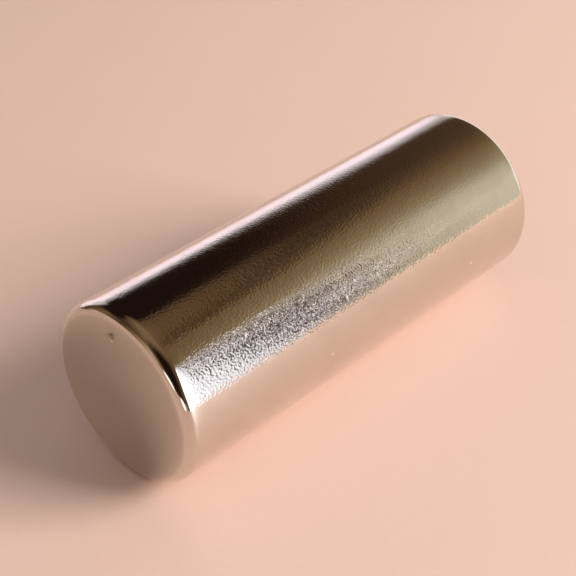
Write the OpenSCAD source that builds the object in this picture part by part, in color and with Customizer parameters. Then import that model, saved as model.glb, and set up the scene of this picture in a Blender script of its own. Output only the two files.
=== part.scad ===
// Cylinder magnet: a sintered neodymium rod under a thin bright nickel plating, one solid piece.
// It stands on a pole face. The origin is the centre of the lower face, and +Z runs along the rod.

/* [Rod] */
// Diameter of the rod over the plating
rod_d = 9.525; // [6:0.025:30]
// Length from pole face to pole face
rod_l = 25.4; // [6:0.1:80]

/* [Rims] */
// Radius of the tumbled corner between a pole face and the barrel
corner_r = 0.55; // [0.1:0.05:0.9]
// Distance from a pole face at which the barrel begins to roll off
shoulder_l = 1; // [1:0.1:2.4]
// How far the rolled-off barrel has dropped where it would meet the plane of the pole face
shoulder_drop = 0.04; // [0.01:0.01:0.1]

/* [Pit in the upper pole face] */
// Width of the pit across its mouth
pit_w = 0.26; // [0.1:0.02:0.8]
// Depth of the pit
pit_depth = 0.05; // [0.01:0.01:0.1]
// Distance from the rod's outer wall in to the middle of the pit
pit_inset = 1.35; // [1.3:0.05:3]
// Bearing of the pit about the rod's axis, from +X towards +Y
pit_bearing = 275; // [0:1:359]

/* [Hidden] */
$fn = 160;

// Radius of a circle that meets a straight line square on and has left it by drop after a run along it
function arc_r(run, drop) = (run * run + drop * drop) / (2 * drop);

// Half of the rod's lengthwise section, from the axis out, for one end of the rod up to height h.
// The barrel's wall runs into a wide shoulder arc, and that into the small corner arc at the pole face.
// Each arc leaves the last without a crease.
module end_section(h) {
    rod_r = rod_d / 2;
    shoulder_r = arc_r(shoulder_l, shoulder_drop);
    // Both arcs share one tangent, so their centres lie the difference of the two radii apart
    rise = shoulder_l - corner_r;
    shoulder_x = rod_r - shoulder_r;
    corner_x = shoulder_x + sqrt(pow(shoulder_r - corner_r, 2) - pow(rise, 2));
    blend_y = shoulder_l - rise * shoulder_r / (shoulder_r - corner_r);
    // Pole face, from the axis to where the corner arc begins
    square([corner_x, blend_y]);
    // Corner arc
    translate([corner_x, corner_r]) circle(r = corner_r);
    // Shoulder arc, from the corner arc up to the straight wall
    intersection() {
        translate([shoulder_x, shoulder_l]) circle(r = shoulder_r);
        translate([0, blend_y]) square([rod_r, shoulder_l - blend_y]);
    }
    // Straight wall
    translate([0, shoulder_l]) square([rod_r, h - shoulder_l]);
}

// The rod as it leaves the tumbler: two like ends, met at the middle of its length
module rod() {
    rotate_extrude() {
        end_section(rod_l / 2);
        translate([0, rod_l]) mirror([0, 1]) end_section(rod_l / 2);
    }
}

// Round-bottomed pit: the cap of a ball that sinks to the pit's depth and is as wide as its mouth
module pit() {
    ball_r = arc_r(pit_w / 2, pit_depth);
    rotate([0, 0, pit_bearing])
        translate([rod_d / 2 - pit_inset, 0, rod_l - pit_depth + ball_r])
            sphere(r = ball_r);
}

module magnet() {
    color([0.77, 0.74, 0.69])
        difference() {
            rod();
            pit();
        }
}

magnet();
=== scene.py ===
"""A nickel-plated rod magnet against an upright bench, with its sizes and finishes in the sidebar."""
import math

import bpy
from bpy.props import FloatProperty, FloatVectorProperty, IntProperty, PointerProperty
from bpy.types import Operator, Panel, PropertyGroup
from mathutils import Matrix, Vector, noise


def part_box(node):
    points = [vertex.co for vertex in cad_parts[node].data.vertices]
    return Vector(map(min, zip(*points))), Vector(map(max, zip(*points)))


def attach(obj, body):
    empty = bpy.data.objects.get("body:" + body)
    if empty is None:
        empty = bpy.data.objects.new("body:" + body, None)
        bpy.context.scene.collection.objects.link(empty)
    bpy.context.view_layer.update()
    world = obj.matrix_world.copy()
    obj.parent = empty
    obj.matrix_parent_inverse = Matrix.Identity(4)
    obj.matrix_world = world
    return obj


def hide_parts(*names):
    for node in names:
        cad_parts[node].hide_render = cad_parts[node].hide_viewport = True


bl_info = {
    "name": "Rod magnet",
    "version": (1, 0, 0),
    "blender": (4, 5, 0),
    "location": "3D View > Sidebar > Magnet",
    "description": "Builds a nickel-plated rod magnet and the small studio that it is shown in",
    "category": "Add Mesh",
}

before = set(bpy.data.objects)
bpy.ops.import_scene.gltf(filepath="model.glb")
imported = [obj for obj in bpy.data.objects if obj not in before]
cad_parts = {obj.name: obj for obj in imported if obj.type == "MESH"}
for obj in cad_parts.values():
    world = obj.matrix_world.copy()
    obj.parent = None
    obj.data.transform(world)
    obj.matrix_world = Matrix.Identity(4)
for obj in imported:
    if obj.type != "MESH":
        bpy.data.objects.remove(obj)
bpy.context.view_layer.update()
ROD_LOW, ROD_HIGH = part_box("magnet")
ROD_D = min(ROD_HIGH.x - ROD_LOW.x, ROD_HIGH.y - ROD_LOW.y)
ROD_L = ROD_HIGH.z - ROD_LOW.z
MM = 0.001
NICKEL = (0.72, 0.67, 0.60)
# Flecks of lint on the barrel: bearing in degrees, height and radius in millimetres
LINT = ((176.7, 5.16, 0.14), (178.2, 16.11, 0.11), (159.5, 18.87, 0.12))
# Scratch on the barrel: bearing in degrees, height in millimetres
SCRATCH = (-153.3, 14.62)
SCRATCH_DEPTH = 0.007 * MM
# Lines round the barrel at the scratch: offset along the rod, half width and half length in millimetres
SCRATCH_LINE = (0.0, 0.10, 0.28)
# The second line is painted shade along one wall of the scratch's groove
GROOVE_SHADE_LINE = (0.12, 0.12, 0.36)
# Nicks in the upper rim: bearing and slope from the barrel in degrees, width and depth in millimetres
NICKS = ((-27.0, 52.0, 0.30, 0.020), (-51.0, 40.0, 0.34, 0.012), (-58.0, 36.0, 0.30, 0.010))
# Ripple of the barrel: its broad and fine waves, the share and the place of the fine ones, and the length
# over which the ripple fades in
BROAD_WAVE, FINE_WAVE = 3.1 * MM, 1.1 * MM
FINE_SHARE, FINE_SHIFT = 0.4, Vector((7.0, 3.0, 5.0))
RIPPLE_FADE = 1.5 * MM
# Shares of the calm length next to a rim between which the grain sets in
CALM_START, CALM_END = 0.35, 1.35
# Heights between which the grain turns calmer towards the foot
FOOT_HIGH, FOOT_LOW = 11 * MM, 2 * MM
# Blotches of haze on the plating: their spacing, and the heights of the noise between which they show
BLOTCH = 2.4 * MM
HAZE_FROM, HAZE_TO, HAZE_TINT = 0.45, 0.75, 0.6
# How much rougher than clean plating the haze, the pit's mouth, the painted shade by the scratch and the lint
# are
HAZE_ROUGH, MOUTH_ROUGH, GROOVE_SHADE_ROUGH, LINT_ROUGH = 0.02, 0.6, 0.4, 0.5
# Share of the surface that a fleck of lint covers, and the strength of the faint painted shade in the pit's
# mouth
LINT_COVER, MOUTH_SHADE = 0.45, 0.2
# Darker oval in and beside the pit: its middle from the pit's, the squeeze and slant of the oval, the outer
# and inner end of its soft edge, the reach of its darker core, and how dark the whole and the core each are
OVAL_X, OVAL_Y = 0.01 * MM, -0.11 * MM
OVAL_ACROSS, OVAL_ALONG, OVAL_SLANT = 0.39, 0.79, 0.43
OVAL_OUT, OVAL_IN, OVAL_CORE = 0.17 * MM, 0.07 * MM, 0.06 * MM
OVAL_TONE = 0.34
# Depths below the upper pole face between which the darker oval fades out, past the pit's floor
OVAL_FROM, OVAL_TO = 0.06 * MM, 0.10 * MM
# Fibres and clouds of the bench's paper: their spacing, and the height of the fibres
FIBRE, CLOUD = 0.5 * MM, 9.0 * MM
FIBRE_HEIGHT = 0.01 * MM
# How far the plain bench lies behind the sheet that the rod mirrors
SHEET_GAP = 0.2 * MM
# Width of the camera's film in millimetres, and the colour of the backdrop
FILM_WIDTH = 36.0
BACKDROP = (0.93, 0.92, 0.91)
# Tones of the tan walls in the nickel, from shade to light: place on the scale and screen colour
TANS = ((.10, (26, 15, 11)), (.17, (43, 28, 18)), (.24, (62, 44, 29)), (.31, (80, 59, 39)),
        (.39, (100, 77, 50)), (.46, (117, 96, 67)), (.53, (135, 114, 84)), (.61, (155, 139, 113)),
        (.70, (179, 164, 139)), (.79, (201, 188, 162)))
# Other things in the mirrored room, as they show in the nickel
DARK, CURTAIN_SHADE, TABLE = (26, 15, 11), (64, 52, 47), (182, 149, 127)
FAR_WINDOW, FAR_WINDOW_TOP, FAR_WINDOW_FOOT = (246, 224, 226), (200, 188, 187), (238, 200, 188)
WINDOW_EDGE = (236, 228, 231)
# Things brighter than white, as light
THREAD_LIGHT, WINDOW_LIGHT = (1.95, 1.86, 2.0), (4.6, 4.9, 5.3)
CARD_LIGHT, SKIRTING_LIGHT = (1.6, 1.6, 1.6), (1.25, 1.15, 1.13)
# White cards on the table: turn, lift, half width and half height in degrees
CARDS = ((-169, 2, 9, 7), (-138, -4, 10, 7))


class RodSizes(PropertyGroup):
    """The rod, its rims and its marks"""
    rod_d: FloatProperty(
        name="Diameter", description="Diameter over the plating",
        default=ROD_D, min=0.006, max=0.03, unit="LENGTH", precision=5)
    rod_l: FloatProperty(
        name="Length", description="Length from pole face to pole face",
        default=ROD_L, min=0.006, max=0.08, unit="LENGTH", precision=5)
    corner_r: FloatProperty(
        name="Corner", description="Radius of the tumbled corner between a pole face and the barrel",
        default=0.55 * MM, min=0.1 * MM, max=0.9 * MM, unit="LENGTH", precision=5)
    shoulder_l: FloatProperty(
        name="Shoulder", description="Distance from a pole face at which the barrel begins to roll off",
        default=1.0 * MM, min=1.0 * MM, max=2.4 * MM, unit="LENGTH", precision=5)
    shoulder_drop: FloatProperty(
        name="Roll-off", description="How far the barrel has rolled off at the plane of the pole face",
        default=0.04 * MM, min=0.01 * MM, max=0.1 * MM, unit="LENGTH", precision=6)
    pit_w: FloatProperty(
        name="Pit width", description="Width of the pit in the upper pole face",
        default=0.26 * MM, min=0.1 * MM, max=0.8 * MM, unit="LENGTH", precision=5)
    pit_depth: FloatProperty(
        name="Pit depth", description="Depth of the pit in the upper pole face",
        default=0.05 * MM, min=0.0, max=0.1 * MM, unit="LENGTH", precision=5)
    pit_inset: FloatProperty(
        name="Pit inset", description="Distance from the rod's wall in to the middle of the pit",
        default=1.35 * MM, min=1.3 * MM, max=3.0 * MM, unit="LENGTH", precision=5)
    pit_bearing: FloatProperty(
        name="Pit bearing", description="Bearing of the pit about the rod's axis",
        default=math.radians(275), min=0.0, max=math.radians(360), subtype="ANGLE")
    ripple: FloatProperty(
        name="Ripple", description="Height of the faint unevenness that pressing leaves in the barrel",
        default=0.0012 * MM, min=0.0, max=0.02 * MM, unit="LENGTH", precision=6)
    around: IntProperty(
        name="Sides", description="Number of faces round the barrel", default=384, min=48, max=512)
    along: IntProperty(
        name="Rings", description="Number of rings along the barrel", default=160, min=8, max=256)


class PlatingLook(PropertyGroup):
    """The bright nickel plating"""
    colour: FloatVectorProperty(
        name="Nickel", description="Colour of the clean plating",
        default=NICKEL, min=0.0, max=1.0, size=3, subtype="COLOR")
    haze_colour: FloatVectorProperty(
        name="Haze", description="Colour of the plating where it is a little dull",
        default=(0.66, 0.61, 0.54), min=0.0, max=1.0, size=3, subtype="COLOR")
    # Colour of the darker oval by the pit, and of the painted shade in the pit's mouth and along the
    # scratch's groove
    darkening_colour: FloatVectorProperty(
        name="Darkening", description="Colour of the dirt in the pit and beside the scratch",
        default=(0.07, 0.045, 0.025), min=0.0, max=1.0, size=3, subtype="COLOR")
    lint_colour: FloatVectorProperty(
        name="Lint", description="Colour of the flecks of lint",
        default=(0.80, 0.74, 0.70), min=0.0, max=1.0, size=3, subtype="COLOR")
    face_rough: FloatProperty(
        name="Face roughness", description="Roughness of the pole faces and rims",
        default=0.05, min=0.0, max=1.0, subtype="FACTOR")
    barrel_rough: FloatProperty(
        name="Barrel roughness", description="Roughness of the barrel",
        default=0.07, min=0.0, max=1.0, subtype="FACTOR")
    grain: FloatProperty(
        name="Grain", description="Spacing of the orange-peel grain on the barrel",
        default=0.10 * MM, min=0.02 * MM, max=1.0 * MM, unit="LENGTH", precision=5)
    grain_h: FloatProperty(
        name="Grain height", description="Height of the orange-peel grain",
        default=0.0064 * MM, min=0.0, max=0.05 * MM, unit="LENGTH", precision=6)
    grain_squeeze: FloatProperty(
        name="Grain squeeze", description="Spacing of the grain round the rod as a share of that along it",
        default=0.8, min=0.2, max=1.0, subtype="FACTOR")
    dapple: FloatProperty(
        name="Dapple", description="Spacing of the faint unevenness under the grain",
        default=0.5 * MM, min=0.1 * MM, max=5.0 * MM, unit="LENGTH", precision=5)
    dapple_h: FloatProperty(
        name="Dapple height", description="Height of the faint unevenness under the grain",
        default=0.003 * MM, min=0.0, max=0.05 * MM, unit="LENGTH", precision=6)
    foot_calm: FloatProperty(
        name="Foot calm", description="How much lower the grain is towards the lower end of the rod",
        default=0.45, min=0.0, max=1.0, subtype="FACTOR")
    calm_l: FloatProperty(
        name="Calm length", description="Length next to a rim that tumbling has rubbed smooth",
        default=0.9 * MM, min=0.1 * MM, max=3.0 * MM, unit="LENGTH", precision=5)


class StudioLook(PropertyGroup):
    """Bench, light and camera"""
    bench_colour: FloatVectorProperty(
        name="Bench", description="Colour of the bench top",
        default=(0.90, 0.60, 0.475), min=0.0, max=1.0, size=3, subtype="COLOR")
    bench_size: FloatProperty(
        name="Bench size", description="Width and length of the bench that the camera sees",
        default=2.4, min=0.1, max=10.0, unit="LENGTH")
    sheet_size: FloatProperty(
        name="Sheet size", description="Width and length of the sheet on the bench, which the rod mirrors",
        default=0.14, min=0.1, max=10.0, unit="LENGTH")
    sheet_side: FloatProperty(
        name="Sheet side", description="Distance from the rod's middle to the sheet's edge by the window",
        default=0.075, min=0.03, max=1.0, unit="LENGTH")
    sheet_front: FloatProperty(
        name="Sheet front", description="Distance from the rod's middle to the sheet's front edge",
        default=0.040, min=0.03, max=1.0, unit="LENGTH")
    key_power: FloatProperty(
        name="Key light", description="Power of the soft light in watts",
        default=1.15, min=0.0, max=100.0, unit="POWER")
    key_size: FloatProperty(
        name="Key size", description="Width of the soft light",
        default=0.16, min=0.01, max=2.0, unit="LENGTH")
    key_distance: FloatProperty(
        name="Key distance", description="Distance from the rod to the soft light",
        default=0.30, min=0.05, max=5.0, unit="LENGTH")
    key_turn: FloatProperty(
        name="Key turn", description="Direction of the soft light about the bench, from the rod's far end",
        default=math.radians(-55), subtype="ANGLE")
    key_lift: FloatProperty(
        name="Key lift", description="Height of the soft light above the bench, as an angle",
        default=math.radians(30), subtype="ANGLE")
    fill: FloatProperty(
        name="Fill", description="Strength of the even light from all round",
        default=0.38, min=0.0, max=2.0)
    camera_at: FloatVectorProperty(
        name="Camera", description="Where the camera stands",
        default=(-37.398 * MM, -39.501 * MM, 53.194 * MM), size=3, subtype="TRANSLATION", unit="LENGTH",
        precision=5)
    camera_aim: FloatVectorProperty(
        name="Aim", description="The point that the camera looks at",
        default=(0.6767 * MM, 0.2447 * MM, 13.5963 * MM), size=3, subtype="TRANSLATION", unit="LENGTH",
        precision=5)
    lens: FloatProperty(
        name="Lens", description="Focal length in millimetres", default=81.65, min=10.0, unit="CAMERA")


class Link:
    """One socket of a node. Python's arithmetic on it adds Math nodes."""

    def __init__(self, net, socket):
        self.net = net
        self.socket = socket

    def math(self, operation, *values):
        return self.net.add("ShaderNodeMath", {"operation": operation}, dict(enumerate(values)))

    def __add__(self, other):
        return self.math("ADD", self, other)

    def __radd__(self, other):
        return self.math("ADD", other, self)

    def __sub__(self, other):
        return self.math("SUBTRACT", self, other)

    def __rsub__(self, other):
        return self.math("SUBTRACT", other, self)

    def __mul__(self, other):
        return self.math("MULTIPLY", self, other)

    def __rmul__(self, other):
        return self.math("MULTIPLY", other, self)

    def __truediv__(self, other):
        return self.math("DIVIDE", self, other)

    def __rtruediv__(self, other):
        return self.math("DIVIDE", other, self)

    def __pow__(self, other):
        return self.math("POWER", self, other)

    def __neg__(self):
        return self.math("MULTIPLY", self, -1.0)

    def __abs__(self):
        return self.math("ABSOLUTE", self)


class Net:
    """The nodes of one material or world."""

    def __init__(self, owner):
        owner.use_nodes = True
        self.tree = owner.node_tree
        self.tree.nodes.clear()

    def add(self, kind, settings=None, values=None, output=0):
        """Adds a node, sets its settings and then its sockets, and gives one of its outputs."""
        node = self.tree.nodes.new(kind)
        for name, value in (settings or {}).items():
            if name == "stops":
                self.set_stops(node.color_ramp, value)
            else:
                setattr(node, name, value)
        for name, value in (values or {}).items():
            if isinstance(value, Link):
                self.tree.links.new(value.socket, node.inputs[name])
            else:
                node.inputs[name].default_value = value
        return Link(self, node.outputs[output]) if node.outputs else None

    @staticmethod
    def set_stops(ramp, stops):
        while len(ramp.elements) < len(stops):
            ramp.elements.new(1.0)
        for element, (position, colour) in zip(ramp.elements, stops):
            element.position = position
            element.color = (*colour, 1.0)

    def step(self, value, low, high):
        """0 below low and 1 above high, with a smooth rise between, or the fall where low is the higher."""
        span = self.add("ShaderNodeMapRange", {"interpolation_type": "SMOOTHSTEP"},
                        {"Value": value, "From Min": min(low, high), "From Max": max(low, high)})
        return span if low < high else 1.0 - span

    def band(self, value, start, end, soft):
        """1 between start and end, with soft edges."""
        return self.step(value, start - soft, start + soft) * self.step(value, end + soft, end - soft)

    def mix(self, factor, first, second):
        """Colours mixed."""
        node_values = {0: factor, 6: first, 7: second}
        return self.add("ShaderNodeMix", {"data_type": "RGBA"}, node_values, output=2)

    def vector(self, operation, first, second=(0.0, 0.0, 0.0)):
        """Vector Math with a vector result."""
        return self.add("ShaderNodeVectorMath", {"operation": operation}, {0: first, 1: second})

    def parts(self, vector):
        """The three numbers of a vector."""
        first = self.add("ShaderNodeSeparateXYZ", None, {0: vector})
        return [Link(self, output) for output in first.socket.node.outputs]

    def noise(self, vector, spacing, detail=0.0, rough=0.5):
        """Soft lumps with the given spacing in metres, between 0 and 1."""
        return self.add("ShaderNodeTexNoise", None, {
            "Vector": vector, "Scale": 1.0 / spacing, "Detail": detail, "Roughness": rough})


def rgba(colour):
    return (*colour, 1.0)


def arc_r(run, drop):
    """Radius of a circle that meets a straight line square on and has left it by drop after run."""
    return (run * run + drop * drop) / (2 * drop)


def rim_section(rod, corner_steps=14, shoulder_steps=8):
    """Points (radius, depth below the pole face) from the face's edge over the rim to the barrel."""
    rod_r = rod.rod_d / 2
    shoulder_r = arc_r(rod.shoulder_l, rod.shoulder_drop)
    rise = rod.shoulder_l - rod.corner_r
    shoulder_x = rod_r - shoulder_r
    corner_x = shoulder_x + math.sqrt((shoulder_r - rod.corner_r) ** 2 - rise ** 2)
    blend = math.asin(rise / (shoulder_r - rod.corner_r))
    points = []
    for k in range(corner_steps + 1):
        a = math.pi / 2 + (blend - math.pi / 2) * k / corner_steps
        points.append((corner_x + rod.corner_r * math.cos(a), rod.corner_r * (1 - math.sin(a))))
    for k in range(1, shoulder_steps + 1):
        a = blend * (1 - k / shoulder_steps)
        points.append((shoulder_x + shoulder_r * math.cos(a), rod.shoulder_l - shoulder_r * math.sin(a)))
    return points


def face_radii(rod, edge, fine=0.055 * MM, coarse=0.3 * MM):
    """Radii of the rings of a pole face, close together where the pit lies."""
    middle = rod.rod_d / 2 - rod.pit_inset
    radii = []
    r = coarse
    while r < edge - fine:
        radii.append(r)
        near_pit = abs(r + fine - middle) < rod.pit_w
        r += fine if near_pit else coarse
    return radii


def lathe_rings(rod):
    """Rings (radius, height) from the lower face's middle, up the barrel, to the upper face's middle."""
    section = rim_section(rod)
    face = face_radii(rod, section[0][0])
    lower = [(r, 0.0) for r in face] + section
    upper = [(r, rod.rod_l - z) for r, z in reversed(lower)]
    start, end = rod.shoulder_l, rod.rod_l - rod.shoulder_l
    barrel = [(rod.rod_d / 2, start + (end - start) * k / rod.along) for k in range(1, rod.along)]
    return lower + barrel + upper


def pit_depth_at(rod, x, y):
    """How deep the round-bottomed pit is below the pole face at a point of it."""
    ball_r = arc_r(rod.pit_w / 2, rod.pit_depth)
    reach = rod.rod_d / 2 - rod.pit_inset
    dx = x - reach * math.cos(rod.pit_bearing)
    dy = y - reach * math.sin(rod.pit_bearing)
    away = math.hypot(dx, dy)
    if away >= rod.pit_w / 2:
        return 0.0
    return math.sqrt(ball_r ** 2 - away ** 2) - (ball_r - rod.pit_depth)


def nicks_of(rod):
    """Centre, inward direction, width and depth of each nick in the upper rim."""
    found = []
    section = rim_section(rod)
    corner_x = section[0][0]
    for bearing, slope, width, depth in NICKS:
        turn, lean = math.radians(bearing), math.radians(slope)
        outward = Vector((math.cos(lean) * math.cos(turn), math.cos(lean) * math.sin(turn), math.sin(lean)))
        centre = Vector((corner_x * math.cos(turn), corner_x * math.sin(turn), rod.rod_l - rod.corner_r))
        found.append((centre + rod.corner_r * outward, -outward, width * MM, depth * MM))
    return found


def nicked(point, nicks):
    """The point, pushed in where it lies in a nick."""
    point = Vector(point)
    for centre, inward, width, depth in nicks:
        share = (point - centre).length / (width / 2)
        if share < 1.0:
            point = point + inward * (depth * (1 - share * share) ** 2)
    return tuple(point)


def ripple_at(rod, x, y, z):
    """Faint unevenness of the barrel, which dies away towards the rims."""
    from_end = min(z, rod.rod_l - z)
    fade = min(max((from_end - rod.shoulder_l) / RIPPLE_FADE, 0.0), 1.0)
    if fade == 0.0:
        return 0.0
    at = Vector((x, y, z))
    broad = noise.noise(at / BROAD_WAVE)
    fine = noise.noise(at / FINE_WAVE + FINE_SHIFT)
    return rod.ripple * fade * (broad + FINE_SHARE * fine)


def rod_mesh(rod):
    """The rod as a turned mesh with its pit and its unevenness."""
    rings = lathe_rings(rod)
    nicks = nicks_of(rod)
    count = rod.around
    points = [(0.0, 0.0, 0.0)]
    for r, z in rings:
        for k in range(count):
            a = 2 * math.pi * k / count
            x, y = r * math.cos(a), r * math.sin(a)
            if z == rod.rod_l:
                points.append((x, y, z - pit_depth_at(rod, x, y)))
                continue
            scale = 1.0 - abs(ripple_at(rod, x, y, z)) / r
            point = (x * scale, y * scale, z)
            points.append(nicked(point, nicks) if z > rod.rod_l - rod.shoulder_l else point)
    points.append((0.0, 0.0, rod.rod_l))
    faces = []
    for k in range(count):
        faces.append((0, 1 + (k + 1) % count, 1 + k))
    for ring in range(len(rings) - 1):
        low, high = 1 + ring * count, 1 + (ring + 1) * count
        for k in range(count):
            n = (k + 1) % count
            faces.append((low + k, low + n, high + n, high + k))
    top, last = len(points) - 1, 1 + (len(rings) - 1) * count
    for k in range(count):
        faces.append((last + k, last + (k + 1) % count, top))
    mesh = bpy.data.meshes.new("rod")
    mesh.from_pydata(points, [], faces)
    mesh.validate()
    mesh.shade_smooth()
    return mesh


def on_wall(rod, bearing, height):
    """The point of the barrel's wall at a bearing in degrees and a height in millimetres."""
    angle = math.radians(bearing)
    return (rod.rod_d / 2 * math.cos(angle), rod.rod_d / 2 * math.sin(angle), height * MM)


def spot(net, at, centre, radius):
    """1 at the centre and 0 from the radius on."""
    away = net.add("ShaderNodeVectorMath", {"operation": "DISTANCE"}, {0: at, 1: centre}, output=1)
    return net.step(away, radius, 0.0)


def streak(net, at, rod, line):
    """1 along the middle of a short line round the barrel at the scratch, and 0 from its edge on."""
    bearing, height = SCRATCH
    offset, half_w, half_l = line
    apart = net.vector("SUBTRACT", at, on_wall(rod, bearing, height + offset))
    stretched = net.vector("MULTIPLY", apart, (1.0, 1.0, half_l / half_w))
    away = net.add("ShaderNodeVectorMath", {"operation": "LENGTH"}, {0: stretched}, output=1)
    return net.step(away, half_l * MM, 0.0)


def barrel_bump(net, at, rod, look, on_barrel):
    """The orange-peel grain of the barrel, the wider dapple under it and the scratch."""
    height = net.parts(at)[2]
    grain = net.noise(net.vector("MULTIPLY", at, (1.0, 1.0, look.grain_squeeze)), look.grain)
    grain = grain * (1.0 - look.foot_calm * net.step(height, FOOT_HIGH, FOOT_LOW))
    peel = net.add("ShaderNodeBump", None, {
        "Strength": 1.0, "Distance": look.grain_h, "Height": grain * on_barrel})
    dapple = net.add("ShaderNodeBump", None, {
        "Strength": 1.0, "Distance": look.dapple_h, "Height": net.noise(at, look.dapple) * on_barrel,
        "Normal": peel})
    return net.add("ShaderNodeBump", {"invert": True}, {
        "Strength": 1.0, "Distance": SCRATCH_DEPTH, "Height": streak(net, at, rod, SCRATCH_LINE),
        "Normal": dapple})


def dark_oval(net, at, rod, pit):
    """A darker patch on the upper pole face, in and beside the pit: a slanting oval with a darker middle."""
    x, y, z = net.parts(at)
    across = x - (pit[0] + OVAL_X)
    along = OVAL_ALONG * (y - (pit[1] + OVAL_Y)) - OVAL_SLANT * across
    oval = ((OVAL_ACROSS * across) ** 2 + along ** 2) ** 0.5
    whole = net.step(oval, OVAL_OUT, OVAL_IN)
    core = net.step(oval, OVAL_CORE, 0.0)
    on_face = net.step(z, rod.rod_l - OVAL_TO, rod.rod_l - OVAL_FROM)
    return OVAL_TONE * (whole + core) * on_face


def nickel_material(rod, look):
    """Bright nickel: a mirror on the faces and rims, orange peel on the barrel, and a few small marks."""
    material = bpy.data.materials.new("nickel_plating")
    net = Net(material)
    at = net.add("ShaderNodeTexCoord", output=3)
    z = net.parts(at)[2]
    from_end = rod.rod_l / 2 - abs(z - rod.rod_l / 2)
    on_barrel = net.step(from_end, look.calm_l * CALM_START, look.calm_l * CALM_END)

    haze = net.step(net.noise(at, BLOTCH, detail=2.0), HAZE_FROM, HAZE_TO)
    colour = net.mix(haze * HAZE_TINT, rgba(look.colour), rgba(look.haze_colour))
    rough = look.face_rough + (look.barrel_rough - look.face_rough) * on_barrel + HAZE_ROUGH * haze
    # Darker oval in and beside the pit, painted shade along the scratch's groove, and the pit's dull mouth,
    # which gets a faint painted shade too
    reach = rod.rod_d / 2 - rod.pit_inset
    pit = (reach * math.cos(rod.pit_bearing), reach * math.sin(rod.pit_bearing), rod.rod_l)
    mouth = net.step(spot(net, at, pit, rod.pit_w), 0.02, 0.2)
    # Painted shade along one wall of the scratch's groove
    groove_shade = net.step(streak(net, at, rod, GROOVE_SHADE_LINE), 0.1, 0.5)
    darkening = dark_oval(net, at, rod, pit) + groove_shade
    # Pale flecks of lint on the barrel
    lint = LINT_COVER * sum(
        net.step(spot(net, at, on_wall(rod, bearing, height), radius * MM), 0.1, 0.9)
        for bearing, height, radius in LINT)
    # Painted shade in the pit's mouth and along the scratch's groove, with the darker oval, mixed into the
    # plating's colour
    colour = net.mix(darkening + MOUTH_SHADE * mouth, colour, rgba(look.darkening_colour))
    colour = net.mix(lint, colour, rgba(look.lint_colour))
    shader = net.add("ShaderNodeBsdfPrincipled", None, {
        "Base Color": colour, "Metallic": 1.0 - lint - darkening,
        "Roughness": rough + LINT_ROUGH * lint + MOUTH_ROUGH * mouth + GROOVE_SHADE_ROUGH * groove_shade,
        "Normal": barrel_bump(net, at, rod, look, on_barrel)})
    net.add("ShaderNodeOutputMaterial", None, {"Surface": shader})
    return material


class MAGNET_OT_build_rod(Operator):
    """Build the plated rod in the place of the frame's magnet"""
    bl_idname = "magnet.build_rod"
    bl_label = "Build rod"
    bl_options = {"REGISTER", "UNDO"}

    def execute(self, context):
        rod = context.scene.rod_sizes
        piece = bpy.data.objects.new("plated_rod", rod_mesh(rod))
        context.scene.collection.objects.link(piece)
        piece.data.materials.append(nickel_material(rod, context.scene.plating_look))
        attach(piece, "root")
        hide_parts("magnet")
        return {"FINISHED"}


def bench_direction(turn, lift):
    """Unit vector from the rod: turn about the bench from the rod's far end, and lift away from the bench."""
    return Vector((math.cos(lift) * math.sin(turn), -math.sin(lift), -math.cos(lift) * math.cos(turn)))


def plate(name, size, centre):
    """Adds a square plate to the stage, facing -Y."""
    half = size / 2
    mesh = bpy.data.meshes.new(name)
    mesh.from_pydata(
        [(-half, -half, 0), (half, -half, 0), (half, half, 0), (-half, half, 0)], [], [(0, 1, 2, 3)])
    item = bpy.data.objects.new(name, mesh)
    item.matrix_world = Matrix.Translation(centre) @ Matrix.Rotation(math.pi / 2, 4, "X")
    bpy.context.scene.collection.objects.link(item)
    return item


def bench_material(look):
    """Plain pale paper, see-through from below so that it never hides the rod."""
    material = bpy.data.materials.new("bench_paper")
    net = Net(material)
    at = net.add("ShaderNodeTexCoord", output=3)
    fibre = net.noise(at, FIBRE, detail=4.0, rough=0.6)
    cloud = net.noise(at, CLOUD, detail=2.0)
    shade = 0.97 + 0.03 * fibre + 0.02 * cloud
    colour = net.add("ShaderNodeVectorMath", {"operation": "SCALE"}, {
        0: tuple(look.bench_colour), 3: shade})
    bump = net.add("ShaderNodeBump", None, {"Strength": 1.0, "Distance": FIBRE_HEIGHT, "Height": fibre})
    paper = net.add("ShaderNodeBsdfPrincipled", None, {
        "Base Color": colour, "Roughness": 0.5, "Coat Weight": 0.4, "Coat Roughness": 0.4, "Normal": bump})
    clear = net.add("ShaderNodeBsdfTransparent")
    below = net.add("ShaderNodeNewGeometry", output=6)
    surface = net.add("ShaderNodeMixShader", None, {0: below, 1: paper, 2: clear})
    net.add("ShaderNodeOutputMaterial", None, {"Surface": surface})
    return material


def seen(colour):
    """The light that shows as this screen colour, from 0 to 255, in the nickel."""
    light = []
    for value, nickel in zip(colour, NICKEL):
        part = value / 255
        light.append((part / 12.92 if part <= 0.04045 else ((part + 0.055) / 1.055) ** 2.4) / nickel)
    return tuple(light)


def row(net, turn, stops):
    """A tone that changes round the room: pairs of a direction in degrees and the tone there."""
    share = (turn + 180.0) / 360.0
    places = [((direction + 180) / 360, (tone, tone, tone)) for direction, tone in stops]
    return net.add("ShaderNodeValToRGB", {"stops": places}, {0: share})


def rise(net, value, low, high):
    """A straight climb from 0 at low to 1 at high."""
    return net.add("ShaderNodeMapRange", None, {"Value": value, "From Min": low, "From Max": high})


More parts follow.
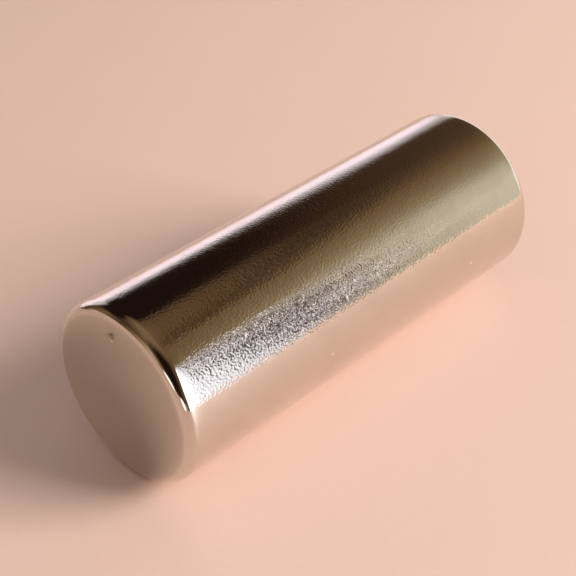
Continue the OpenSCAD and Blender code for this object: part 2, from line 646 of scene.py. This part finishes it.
def wall_tone(net, turn, lift):
    """How light the tan walls and the ceiling are, by direction from the rod."""
    low = row(net, turn, [
        (-180, .52), (-172, .38), (-160, .18), (-135, .16), (-118, .27), (-95, .47), (-60, .66),
        (-50, .66), (-44, .775), (-38, .77), (-20, .64), (0, .49), (20, .37), (45, .26), (100, .25),
        (125, .42), (145, .29), (160, .48), (174, .65), (180, .52)])
    middle = row(net, turn, [
        (-180, .31), (-165, .16), (-125, .12), (-105, .28), (-60, .46), (-48, .50), (-38, .59), (-20, .53),
        (0, .42), (20, .30), (45, .17), (120, .12), (145, .22), (175, .36)])
    high = row(net, turn, [
        (-180, .36), (-165, .23), (-135, .12), (-110, .18), (-85, .33), (-60, .38), (-28, .44), (-10, .40),
        (10, .29), (28, .17), (45, .11), (120, .14), (135, .28), (175, .40)])
    cornice = row(net, turn, [
        (-180, .42), (-160, .35), (-140, .26), (-120, .28), (-60, .42), (-30, .35), (0, .34), (30, .33),
        (60, .30), (120, .31), (180, .42)])
    ceiling = 0.44
    tone = low + (middle - low) * rise(net, lift, 16, 36)
    tone = tone + (high - tone) * rise(net, lift, 36, 48)
    tone = tone + (cornice - tone) * rise(net, lift, 50, 58)
    tone = tone + (ceiling - tone) * rise(net, lift, 60, 74)
    # Dark picture rail on the far wall, and the window's glow on the wall beside it
    rail = net.band(lift + 0.1 * turn, 51.0, 55.5, 3.5) * net.band(turn, -32, 14, 8)
    glow = net.band(lift, 22, 33, 6) * net.band(turn, -46, -30, 8)
    return tone - 0.13 * rail + 0.05 * glow


def cupboard_and_doorway(net, turn, lift):
    """Masks of the dark cupboard, which has a sloping near edge, and of the doorway behind the camera."""
    cupboard = net.step(lift + 1.59 * turn, 94.5, 113.5) * net.step(lift, 62, 55)
    cupboard = cupboard * net.step(turn - 12 * net.step(lift, 54, 42), 124, 114)
    cupboard = cupboard * (1.0 - net.step(turn, 92, 104) * net.step(lift, 32, 24))
    across, up = (turn + 141) / 1.1, lift - 33
    doorway = net.step((across * across + up * up) ** 0.5, 29, 17)
    return cupboard, doorway


def add_far_window(net, room, turn, lift):
    """The paler window over the cupboard's foot, soft at its top, with its glow on the table below it."""
    top = 18 - 5 * net.step(turn, 44, 58) + 11 * net.step(turn, 60, 76) - 7 * net.step(turn, 86, 100)
    pane = net.step(turn, 40, 46) * net.step(turn, 104, 92) * net.step(lift - top, 7, -7)
    pale = net.mix(net.step(lift, 7, 13), rgba(seen(FAR_WINDOW)), rgba(seen(FAR_WINDOW_TOP)))
    pale = net.mix(net.step(lift, 1, -5), pale, rgba(seen(FAR_WINDOW_FOOT)))
    return net.mix(pane, room, pale)


def add_curtain(net, room, away, turn, lift):
    """The lace between the bright window and the wall. Its white threads reach further than its shade."""
    lace = net.vector("ADD", net.vector("MULTIPLY", away, (1.6, 1.0, 1.6)), (0.31, 0.0, 0.0))
    threads = net.step(net.noise(lace, 0.06), 0.56, 0.645)
    side = turn - 0.13 * lift
    drop = net.step(lift, 39, 34.5) * net.step(lift, -4, 0)
    room = net.mix(net.band(side, -80, -51.9, 2.2) * drop, room, rgba(seen(CURTAIN_SHADE)))
    return net.mix(net.band(side, -80, -50.5, 3.2) * drop * threads, room, rgba(THREAD_LIGHT))


def add_bright_window(net, room, turn, lift):
    """The bright window with its curved head."""
    sash = (turn + 60) / 10
    sides = net.step(turn, -55.9, -58.4) * net.step(turn, -104, -90)
    pane = sides * net.step(lift + 1.6 * (sash * sash), 42, 36)
    glare = net.mix(net.step(turn, -60, -70), rgba(seen(WINDOW_EDGE)), rgba(WINDOW_LIGHT))
    return net.mix(pane, room, glare)


def add_table(net, room, turn, lift):
    """The pale table beyond the front edge of the sheet, with two white cards."""
    table = net.step(abs(turn), 112, 124) * net.step(lift, 2, -1)
    room = net.mix(table, room, rgba(seen(TABLE)))
    for card_turn, card_lift, half_w, half_h in CARDS:
        card = (((turn - card_turn) / half_w) ** 2 + ((lift - card_lift) / half_h) ** 2) ** 0.5
        room = net.mix(net.step(card, 1.1, 0.7), room, rgba(CARD_LIGHT))
    return room


def shell_material(centre):
    """The room that the metal mirrors, by direction from the rod: turn about the bench, lift above it."""
    material = bpy.data.materials.new("room")
    net = Net(material)
    place = net.add("ShaderNodeNewGeometry", output=0)
    away = net.vector("NORMALIZE", net.vector("SUBTRACT", place, tuple(centre)))
    x, y, z = net.parts(away)
    degree = 180 / math.pi
    turn = degree * x.math("ARCTAN2", x, -z)
    lift = degree * y.math("ARCSINE", -y)

    room = net.add("ShaderNodeValToRGB", {"stops": [(tone, seen(tint)) for tone, tint in TANS]},
                   {0: wall_tone(net, turn, lift)})
    for dark_part in cupboard_and_doorway(net, turn, lift):
        room = net.mix(dark_part, room, rgba(seen(DARK)))
    room = add_far_window(net, room, turn, lift)
    room = add_curtain(net, room, away, turn, lift)
    room = add_bright_window(net, room, turn, lift)
    room = add_table(net, room, turn, lift)
    # Pale skirting at the far end of the bench
    skirting = net.step(lift, 22, 8) * net.band(turn, -36, 42, 3)
    room = net.mix(skirting, room, rgba(SKIRTING_LIGHT))
    shader = net.add("ShaderNodeBsdfPrincipled", None, {
        "Base Color": (0.0, 0.0, 0.0, 1.0), "Roughness": 1.0, "Specular IOR Level": 0.0,
        "Emission Color": room, "Emission Strength": 1.0})
    net.add("ShaderNodeOutputMaterial", None, {"Surface": shader})
    material.cycles.emission_sampling = "NONE"
    return material


def room_shell(centre, radius=0.9, sides=64, rings=32):
    """A ball round the rod that only reflections see."""
    points = [Vector((0, 0, radius))]
    for i in range(1, rings):
        slope = math.pi * i / rings
        across = math.sin(slope)
        for k in range(sides):
            a = 2 * math.pi * k / sides
            points.append(radius * Vector((across * math.cos(a), across * math.sin(a), math.cos(slope))))
    points.append(Vector((0, 0, -radius)))
    faces = [(0, 1 + k, 1 + (k + 1) % sides) for k in range(sides)]
    for i in range(rings - 2):
        a0, b0 = 1 + i * sides, 1 + (i + 1) * sides
        faces += [(a0 + k, b0 + k, b0 + (k + 1) % sides, a0 + (k + 1) % sides) for k in range(sides)]
    last = 1 + (rings - 2) * sides
    faces += [(last + (k + 1) % sides, last + k, len(points) - 1) for k in range(sides)]
    mesh = bpy.data.meshes.new("room_shell")
    mesh.from_pydata([p + centre for p in points], [], faces)
    mesh.shade_smooth()
    shell = bpy.data.objects.new("room_shell", mesh)
    bpy.context.scene.collection.objects.link(shell)
    shell.data.materials.append(shell_material(centre))
    shell.visible_camera = False
    shell.visible_diffuse = False
    shell.visible_shadow = False
    shell.visible_transmission = False
    return shell


def set_world(world, look):
    """Even light all round, and a pale backdrop where the camera looks past the bench."""
    net = Net(world)
    path = net.add("ShaderNodeLightPath")
    light = net.add("ShaderNodeBackground", None, {0: (1.0, 1.0, 1.0, 1.0), 1: look.fill})
    backdrop = net.add("ShaderNodeBackground", None, {0: rgba(BACKDROP), 1: 1.0})
    surface = net.add("ShaderNodeMixShader", None, {0: path, 1: light, 2: backdrop})
    net.add("ShaderNodeOutputWorld", None, {"Surface": surface})


def aim_at(item, place, target, up):
    """Puts a lamp or camera in place, looking at the target, with up upwards in its view."""
    back = (place - target).normalized()
    right = up.cross(back).normalized()
    turned = Matrix((right, back.cross(right), back)).transposed().to_4x4()
    item.matrix_world = Matrix.Translation(place) @ turned


class MAGNET_OT_build_stage(Operator):
    """Lay the bench against the rod's side, and set the light, the room and the camera"""
    bl_idname = "magnet.build_stage"
    bl_label = "Build bench, light and camera"
    bl_options = {"REGISTER", "UNDO"}

    def execute(self, context):
        scene = context.scene
        look = scene.studio_look
        rod = scene.rod_sizes
        middle = Vector((0.0, 0.0, rod.rod_l / 2))
        # The sheet touches the barrel at +Y and faces -Y. Past its edges, the rod mirrors the room
        half = look.sheet_size / 2
        sheet = plate("sheet", look.sheet_size, (
            half - look.sheet_side, ROD_HIGH.y, middle.z + look.sheet_front - half))
        bench = plate("bench", look.bench_size, (0.0, ROD_HIGH.y + SHEET_GAP, middle.z))
        bench.visible_glossy = False
        paper = bench_material(look)
        for item in (sheet, bench):
            item.data.materials.append(paper)
        room_shell(Vector((0.0, ROD_HIGH.y, middle.z)))

        lamp = bpy.data.lights.new("key", "AREA")
        lamp.size = look.key_size
        lamp.energy = look.key_power
        key = bpy.data.objects.new("key", lamp)
        scene.collection.objects.link(key)
        outward = bench_direction(look.key_turn, look.key_lift)
        aim_at(key, middle + outward * look.key_distance, middle, Vector((0.0, -1.0, 0.0)))
        key.visible_glossy = False

        if scene.world is None:
            scene.world = bpy.data.worlds.new("studio")
        set_world(scene.world, look)

        camera_data = bpy.data.cameras.new("camera")
        camera_data.lens = look.lens
        camera_data.sensor_width = FILM_WIDTH
        camera_data.clip_start = 0.001
        camera_data.clip_end = 10.0
        camera = bpy.data.objects.new("camera", camera_data)
        scene.collection.objects.link(camera)
        aim_at(camera, Vector(look.camera_at), Vector(look.camera_aim), Vector((0.0, -1.0, 0.0)))
        scene.camera = camera
        scene.view_settings.view_transform = "Standard"
        return {"FINISHED"}


class MAGNET_PT_sidebar(Panel):
    """The magnet's sizes and finishes, and the steps that build it"""
    bl_label = "Rod magnet"
    bl_idname = "MAGNET_PT_sidebar"
    bl_space_type = "VIEW_3D"
    bl_region_type = "UI"
    bl_category = "Magnet"

    def draw(self, context):
        layout = self.layout
        scene = context.scene
        for title, group in (("Rod", scene.rod_sizes), ("Plating", scene.plating_look),
                             ("Studio", scene.studio_look)):
            box = layout.box()
            box.label(text=title)
            for name in group.__annotations__:
                box.prop(group, name)
        layout.operator(MAGNET_OT_build_rod.bl_idname)
        layout.operator(MAGNET_OT_build_stage.bl_idname)


CLASSES = (RodSizes, PlatingLook, StudioLook, MAGNET_OT_build_rod, MAGNET_OT_build_stage, MAGNET_PT_sidebar)


def register():
    for cls in CLASSES:
        bpy.utils.register_class(cls)
    bpy.types.Scene.rod_sizes = PointerProperty(type=RodSizes)
    bpy.types.Scene.plating_look = PointerProperty(type=PlatingLook)
    bpy.types.Scene.studio_look = PointerProperty(type=StudioLook)


def unregister():
    del bpy.types.Scene.studio_look
    del bpy.types.Scene.plating_look
    del bpy.types.Scene.rod_sizes
    for cls in reversed(CLASSES):
        bpy.utils.unregister_class(cls)


def main():
    register()
    bpy.ops.magnet.build_rod()
    bpy.ops.magnet.build_stage()


if __name__ == "__main__":
    main()
